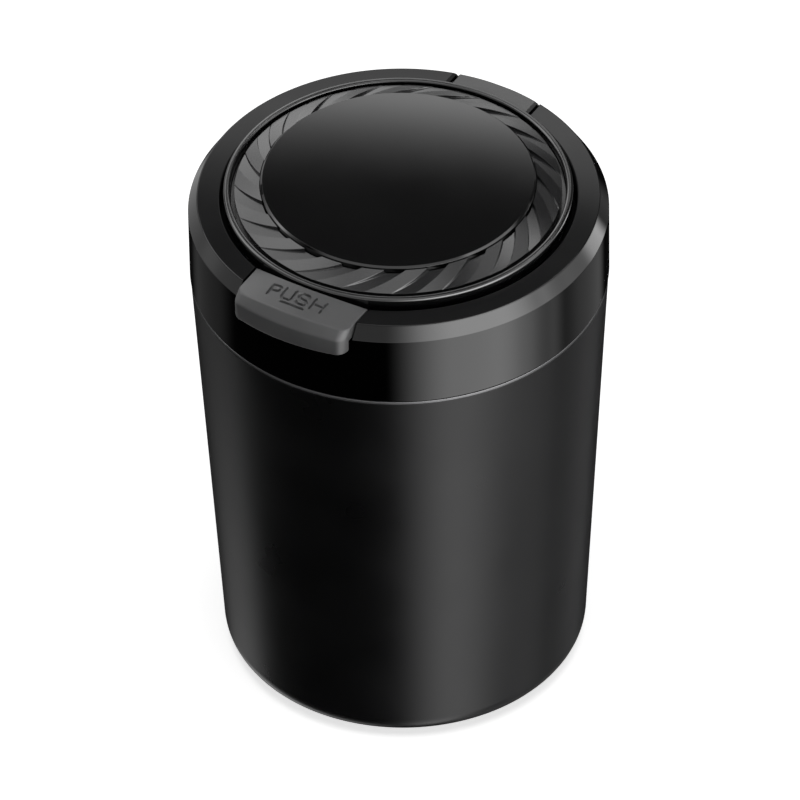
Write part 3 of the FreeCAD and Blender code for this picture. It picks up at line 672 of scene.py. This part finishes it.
def push_button():
    """Crowned top plate on the plan grid with the word sunk in it, rings that go round its rim over the
    broken edge and the front bevel down to the lip, and the plan again as the underside. Each ring is an
    inset at the sides, at the inner arc and at the front, and a drop below the crown."""
    end_share, step_share = 0.15, 0.0005
    end = end_share * (1 - np.cos(np.linspace(0, math.pi / 2, 24)))
    middle = np.linspace(end_share - 1, 1 - end_share, 260)[1:-1]
    u = np.concatenate([end - 1, middle, 1 - end[::-1]])
    plate = np.linspace(0, LIP_SHARE - step_share, 92)
    lip = np.linspace(LIP_SHARE + step_share, 1, 24)
    v = np.concatenate([plate, lip])
    u, v = np.meshgrid(u, v, indexing="ij")
    rim_u = np.concatenate([u[:, 0], u[-1, 1:], u[::-1, -1][1:], u[0, ::-1][1:-1]])
    rim_v = np.concatenate([v[:, 0], v[-1, 1:], v[::-1, -1][1:], v[0, ::-1][1:-1]])
    drops = [
        (0.24, 0.24, 1.66, 0.0), (0.12, 0.12, 1.52, 0.03), (0.04, 0.04, 1.36, 0.13), (0.0, 0.0, 1.2, 0.28),
        (0.0, 0.0, 0.24, 1.36), (0.0, 0.0, 0.1, 1.56), (0.0, 0.0, 0.02, 1.8), (0.0, 0.0, 0.0, 2.0),
        (0.0, 0.0, 0.0, 4.6), (0.04, 0.04, 0.04, 4.8), (0.15, 0.15, 0.15, 4.9),
    ]
    crown_fade = 2
    rings = []
    for side, inner, front, drop in drops:
        x, y = button_plan(rim_u, rim_v, side, inner, front)
        rise = button_crown(x, y) * min(1.0, (drops[-1][3] - drop) / crown_fade)
        rings.append(np.stack([x, y, np.maximum(HEAD_TOP + rise - drop, button_under(rim_v))], -1))
    rim_faces = grid_faces(len(drops), len(rim_u), wrap_columns=True)
    x, y = button_plan(u, v, *drops[0][:3])
    top = np.stack([x, y, HEAD_TOP + button_crown(x, y) - WORD_DEPTH * stroke_depth(x, y)], -1)
    x, y = button_plan(u, v, *drops[-1][:3])
    under = np.stack([x, y, button_under(v)], -1)
    face = grid_faces(*u.shape)
    start = len(drops) * len(rim_u)
    points = np.concatenate([np.stack(rings).reshape(-1, 3), top.reshape(-1, 3), under.reshape(-1, 3)])
    faces = np.concatenate([rim_faces, face + start, face + start + u.size])
    return make_piece("push_button", points, faces, button_matte, 35.0)


seat(push_button(), "button", "button_grey", "latch_button")
catch_nose = front_arc("catch_nose", NOSE_INNER, NOSE_OUTER, PLATE_UNDER, NOSE_TOP,
                       NOSE_HALF, button_matte)
seat(catch_nose, "button", "button_grey")
for ear_side, ear_start in (("left", -EAR_REACH), ("right", EAR_REACH - EAR_WIDTH)):
    ear_end = ear_start + EAR_WIDTH
    plate = block("ear_plate_" + ear_side, ear_start, ear_end, EAR_FRONT, EAR_REAR,
                  LATCH_Z, EAR_TOP, button_matte)
    seat(plate, "button", "button_grey")
    boss = cross_rod("ear_boss_" + ear_side, EAR_RADIUS, ear_start, ear_end, LATCH_Y, LATCH_Z,
                     button_matte)
    seat(boss, "button", "button_grey")

# Finishes of the solids that stay
finishes = {
    "base_pad": soft_rubber, "ash_liner": liner_steel, "neck_gasket": soft_rubber, "neck_frame": inner_black,
    "frame_screws": pin_steel, "mouth_ring": liner_steel, "hinge_pin": pin_steel, "hinge_spring": pin_steel,
    "latch_pin": pin_steel, "latch_spring": pin_steel, "lid_cap": inner_black, "lid_seal": soft_rubber,
    "lid_screws": pin_steel,
}
for node, finish in finishes.items():
    nodes[node].data.materials.clear()
    nodes[node].data.materials.append(finish)


# Studio

VIEW_AZIMUTH = math.radians(31.4)
VIEW_HEIGHT = math.radians(40.584)


def camera_rig():
    """Camera on the viewing line given by azimuth, elevation and distance, with its slight roll."""
    distance = 2.2149
    roll = math.radians(-0.988)
    aim_height, aim_left, aim_up = 54.5 * MM, 0.353 * MM, 0.104 * MM
    level = math.cos(VIEW_HEIGHT)
    toward = Vector((math.sin(VIEW_AZIMUTH) * level, -math.cos(VIEW_AZIMUTH) * level, math.sin(VIEW_HEIGHT)))
    right = Vector((math.cos(VIEW_AZIMUTH), math.sin(VIEW_AZIMUTH), 0))
    up = toward.cross(right)
    target = Vector((0, 0, aim_height)) - right * aim_left + up * aim_up
    turn = Matrix((right, up, toward)).transposed().to_4x4() @ Matrix.Rotation(roll, 4, "Z")
    data = bpy.data.cameras.new("camera")
    data.lens = 531.07
    data.sensor_width = 36.0
    data.clip_start = 0.1
    data.clip_end = 20
    camera = bpy.data.objects.new("camera", data)
    bpy.context.scene.collection.objects.link(camera)
    camera.matrix_world = Matrix.Translation(target + toward * distance) @ turn
    bpy.context.scene.camera = camera


def floor_plane():
    """Wide pale floor just under the base. It is white to the camera and takes the object's soft shadow."""
    half = 3000.0
    low = -0.05
    camera_lift = 0.7
    points = np.array([[-half, -half, low], [half, -half, low], [half, half, low], [-half, half, low]])
    material, tree, shader = new_material("floor_white")
    shader.inputs["Base Color"].default_value = (0.9, 0.9, 0.9, 1)
    shader.inputs["Roughness"].default_value = 0.9
    shader.inputs["Specular IOR Level"].default_value = 0.0
    shader.inputs["Emission Color"].default_value = (1, 1, 1, 1)
    path = tree.nodes.new("ShaderNodeLightPath")
    lift = tree.nodes.new("ShaderNodeMath")
    lift.operation = "MULTIPLY"
    lift.inputs[1].default_value = camera_lift
    tree.links.new(path.outputs["Is Camera Ray"], lift.inputs[0])
    tree.links.new(lift.outputs["Value"], shader.inputs["Emission Strength"])
    floor = make_piece("floor", points, [[0, 1, 2, 3]], material)
    floor.visible_glossy = False
    floor.visible_diffuse = False


def lamp(name, position, target, size, power):
    """Soft square lamp facing a point. It lights the matt surfaces; the panels give the reflections."""
    data = bpy.data.lights.new(name, "AREA")
    data.size = size
    data.energy = power
    light = bpy.data.objects.new(name, data)
    bpy.context.scene.collection.objects.link(light)
    aim = (Vector(target) - Vector(position)).to_track_quat("-Z", "Y").to_matrix().to_4x4()
    light.matrix_world = Matrix.Translation(Vector(position)) @ aim
    light.visible_glossy = False


def window(value, low, high, soft):
    """1 between low and high, falling smoothly to 0 over the soft width outside."""
    rise = np.clip((value - low + soft) / soft, 0, 1)
    fall = np.clip((high + soft - value) / soft, 0, 1)
    return rise * rise * (3 - 2 * rise) * fall * fall * (3 - 2 * fall)


def panel_surface(name, points, glow):
    """Reflector seen only in reflections, with its brightness at each point of its grid."""
    material = bpy.data.materials.new(name)
    material.use_nodes = True
    tree = material.node_tree
    tree.nodes.clear()
    reading = tree.nodes.new("ShaderNodeAttribute")
    reading.attribute_name = "glow"
    emission = tree.nodes.new("ShaderNodeEmission")
    output = tree.nodes.new("ShaderNodeOutputMaterial")
    tree.links.new(reading.outputs["Fac"], emission.inputs["Strength"])
    tree.links.new(emission.outputs["Emission"], output.inputs["Surface"])
    material.cycles.emission_sampling = "NONE"
    mesh = bpy.data.meshes.new(name)
    mesh.from_pydata((points.reshape(-1, 3) * MM).tolist(), [], grid_faces(*glow.shape).tolist())
    mesh.attributes.new("glow", "FLOAT", "POINT").data.foreach_set("value", glow.astype(np.float32).ravel())
    mesh.materials.append(material)
    panel = bpy.data.objects.new(name, mesh)
    bpy.context.scene.collection.objects.link(panel)
    panel.visible_camera = False
    panel.visible_diffuse = False
    panel.visible_shadow = False
    panel.visible_transmission = False


def around(angle, height, radius):
    """Points on the studio's round: angle is measured to the right from the camera's side, in degrees."""
    turn = VIEW_AZIMUTH - math.pi / 2 + np.radians(angle)
    return np.stack([radius * np.cos(turn), radius * np.sin(turn), height + 0 * turn], -1)


def soft_panels(across, upward, panels):
    """Sum of soft panels, each a strength times a window across times a window upward. A window is its low
    and high ends and its soft width."""
    glow = np.zeros(across.shape)
    for strength, wide, tall in panels.values():
        glow += strength * window(across, *wide) * window(upward, *tall)
    return glow


def tent():
    """Dark tent round the object with soft bright panels: a tall one at the right of the camera, weaker ones
    all round and one overhead. Brightness is a sum of windows in angle and elevation, in degrees."""
    angle, rise = np.meshgrid(np.linspace(-180, 180, 361), np.linspace(-89, 89, 179), indexing="ij")
    size = 1500.0
    middle = 60
    dark = 0.006
    points = around(angle, middle + size * np.sin(np.radians(rise)), size * np.cos(np.radians(rise)))
    tall = 3.9 + 4.9 * window(rise, 12, 90, 40)
    right_edge = 29 + 22 * window(rise, -40, 90, 8)
    glow = dark + tall * window(angle, 29, right_edge, 38) * window(rise, -75, 28, 12)
    glow += soft_panels(angle, rise, {
        "right_low": (0.5, (78, 90, 12), (-80, 12, 20)),
        "right_rear_low": (0.17, (90, 139, 14), (-80, 12, 20)),
        "right_rear_low_lift": (0.09, (116, 136, 14), (-80, 12, 20)),
        "right_level": (1.7, (78, 104, 8), (0, 14, 8)),
        "right_rear_level": (4.5, (113, 121, 9), (-12, 8, 8)),
        "right_raised": (2.5, (62, 105, 10), (29, 44, 6)),
        "right_rear_raised": (1.5, (105, 146, 12), (40, 66, 10)),
        "right_rear_spot": (9.0, (150, 154, 4), (51, 55, 4)),
        "left_front_low": (1.4, (-60, 8, 15), (-22, 0, 6)),
        "left_level": (0.9, (-115, 8, 15), (4, 28, 8)),
        "left_rear_floor": (1.2, (-142, -118, 18), (-80, -50, 8)),
        "left_rear_low": (0.1, (-142, -118, 18), (-44, 0, 8)),
        "left_rear_level": (0.6, (-158, -116, 20), (-24, 14, 12)),
        "left_rear_raised": (3.3, (-150, -105, 12), (26, 66, 10)),
        "front_raised": (1.4, (-70, 70, 20), (44, 70, 8)),
        "overhead": (2.5, (-180, 180, 1), (79, 90, 7)),
    })
    panel_surface("tent", points, glow)


def rear_bank():
    """Low curved bank behind the object, brightest just under its soft top edge, which the flat tops
    mirror. Its top edge leans to one side, and further panels brighten its left."""
    first, last, bottom, top = 118, 232, 112, 420
    angle, height = np.meshgrid(np.linspace(first, last, 115), np.linspace(bottom, top, 155), indexing="ij")
    dark = 0.085
    edge_height, edge_soft, edge_lean = 364, 31, 45
    lean = edge_lean * np.sin(np.radians(180 - angle))
    edge = np.clip((edge_height + lean - height) / edge_soft, 0, 1)
    bright = 1.5 + 1.5 * window(height, 330, 350, 14)
    glow = dark + bright * edge ** 3 * window(angle, 168, 196, 16)
    glow += soft_panels(angle, height, {
        "left_middle": (1.4, (192, 216, 14), (235, 285, 35)),
        "left_low": (0.5, (186, 216, 10), (bottom, 230, 25)),
        "left_end_high": (2.4, (210, last, 10), (300, top, 40)),
    })
    panel_surface("rear_bank", around(angle, height, 300.0), glow)


def studio_world():
    """White to the camera and in reflections, and an even soft light on matt surfaces."""
    soft_light, white = 0.12, 1.0
    world = bpy.data.worlds.new("studio")
    bpy.context.scene.world = world
    world.use_nodes = True
    tree = world.node_tree
    background = tree.nodes["Background"]
    background.inputs["Color"].default_value = (1, 1, 1, 1)
    path = tree.nodes.new("ShaderNodeLightPath")
    seen = joined(tree, "MAXIMUM", path.outputs["Is Camera Ray"], path.outputs["Is Glossy Ray"])
    seen = joined(tree, "MAXIMUM", seen, path.outputs["Is Transmission Ray"])
    level = ramped(tree, seen, 0.0, 1.0, soft_light, white)
    tree.links.new(level, background.inputs["Strength"])


camera_rig()
floor_plane()
studio_world()
tent()
rear_bank()
lamp("overhead", (0.1, -0.1, 1.3), (0, 0, 0.05), 0.9, 9.5)

bpy.context.scene.view_settings.view_transform = "Standard"
